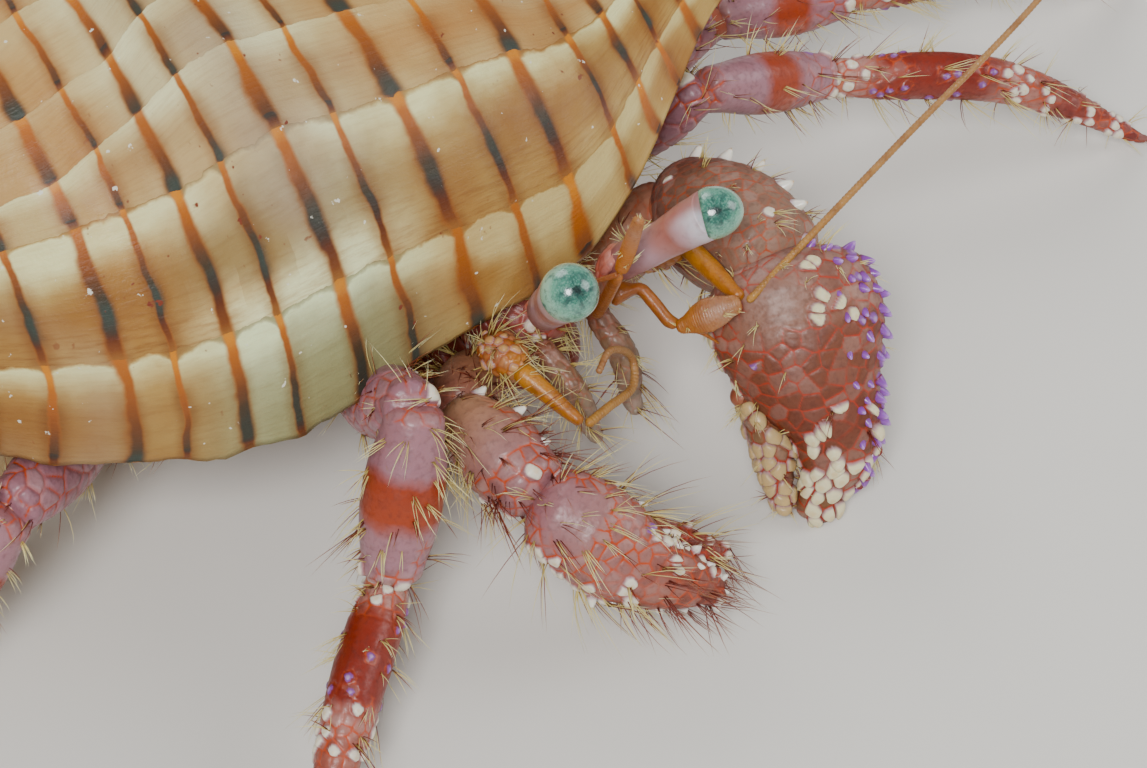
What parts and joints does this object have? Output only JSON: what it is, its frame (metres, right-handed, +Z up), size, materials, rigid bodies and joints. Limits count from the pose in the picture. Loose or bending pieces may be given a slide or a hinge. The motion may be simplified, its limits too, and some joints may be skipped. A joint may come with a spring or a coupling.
{
  "type": "hermit crab in a snail shell",
  "caption": "Hermit crab standing on its walking legs and large claw, carrying a tall spiral snail shell that lies on its side behind it.",
  "frame": {"origin": "under the middle of the animal with its shell, on the floor it rests on", "axes": "+Z up; +X towards the crab's left and the open canal end of the shell; the crab faces -Y"},
  "size_m": [0.1356, 0.0682, 0.0395],
  "materials": {
    "shell": "polished lime, cream and tan with brown spiral lines",
    "carapace": "hard chitin, dusky pink with pale marks",
    "soft_tail": "soft skin, pinkish tan",
    "eyestalk": "hard chitin, mauve with a pale ring",
    "cornea": "wet, teal green with dark star spots",
    "feeler": "thin chitin, orange",
    "mouth_limb": "chitin, reddish brown with setae",
    "claw_arm": "chitin plates, mauve netted with orange red",
    "claw": "chitin, dusky red with cream tubercles and purple spines",
    "leg_upper": "chitin, red brown",
    "leg_plate": "chitin plates, mauve netted with orange red and one red band",
    "leg_toe": "chitin, banded red, white and purple",
    "setae": "tufts of stiff pale yellow hairs"
  },
  "bodies": {
    "root": {"shell": "shell", "carapace_shield": "carapace", "thorax": "carapace", "abdomen": "soft_tail", "eyestalk_left": "eyestalk", "cornea_left": "cornea", "eyestalk_right": "eyestalk", "cornea_right": "cornea", "antennule_left_stalk": "feeler", "antennule_left_flagellum": "feeler", "antennule_right_stalk": "feeler", "antennule_right_flagellum": "feeler", "antenna_left_base": "feeler", "antenna_left_stalk": "feeler", "antenna_left_flagellum": "feeler", "antenna_right_base": "feeler", "antenna_right_stalk": "feeler", "antenna_right_flagellum": "feeler", "maxilliped_left": "mouth_limb", "maxilliped_right": "mouth_limb", "cheliped_left_merus": "claw_arm", "cheliped_left_carpus": "claw_arm", "cheliped_left_palm": "claw", "cheliped_left_finger": "claw", "cheliped_right_merus": "claw_arm", "cheliped_right_carpus": "claw_arm", "cheliped_right_palm": "claw", "cheliped_right_finger": "claw", "leg2_right_ischium": "leg_upper", "leg2_right_merus": "leg_upper", "leg2_right_carpus": "leg_plate", "leg2_right_propodus": "leg_plate", "leg2_right_dactyl": "leg_toe", "leg3_right_ischium": "leg_upper", "leg3_right_merus": "leg_upper", "leg3_right_carpus": "leg_plate", "leg3_right_propodus": "leg_plate", "leg3_right_dactyl": "leg_toe", "leg2_left_ischium": "leg_upper", "leg2_left_merus": "leg_upper", "leg2_left_carpus": "leg_plate", "leg2_left_propodus": "leg_plate", "leg2_left_dactyl": "leg_toe", "leg3_left_ischium": "leg_upper", "leg3_left_merus": "leg_upper", "leg3_left_carpus": "leg_plate", "leg3_left_propodus": "leg_plate", "leg3_left_dactyl": "leg_toe", "leg4_left": "soft_tail", "leg4_right": "soft_tail"}
  },
  "joints": []
}
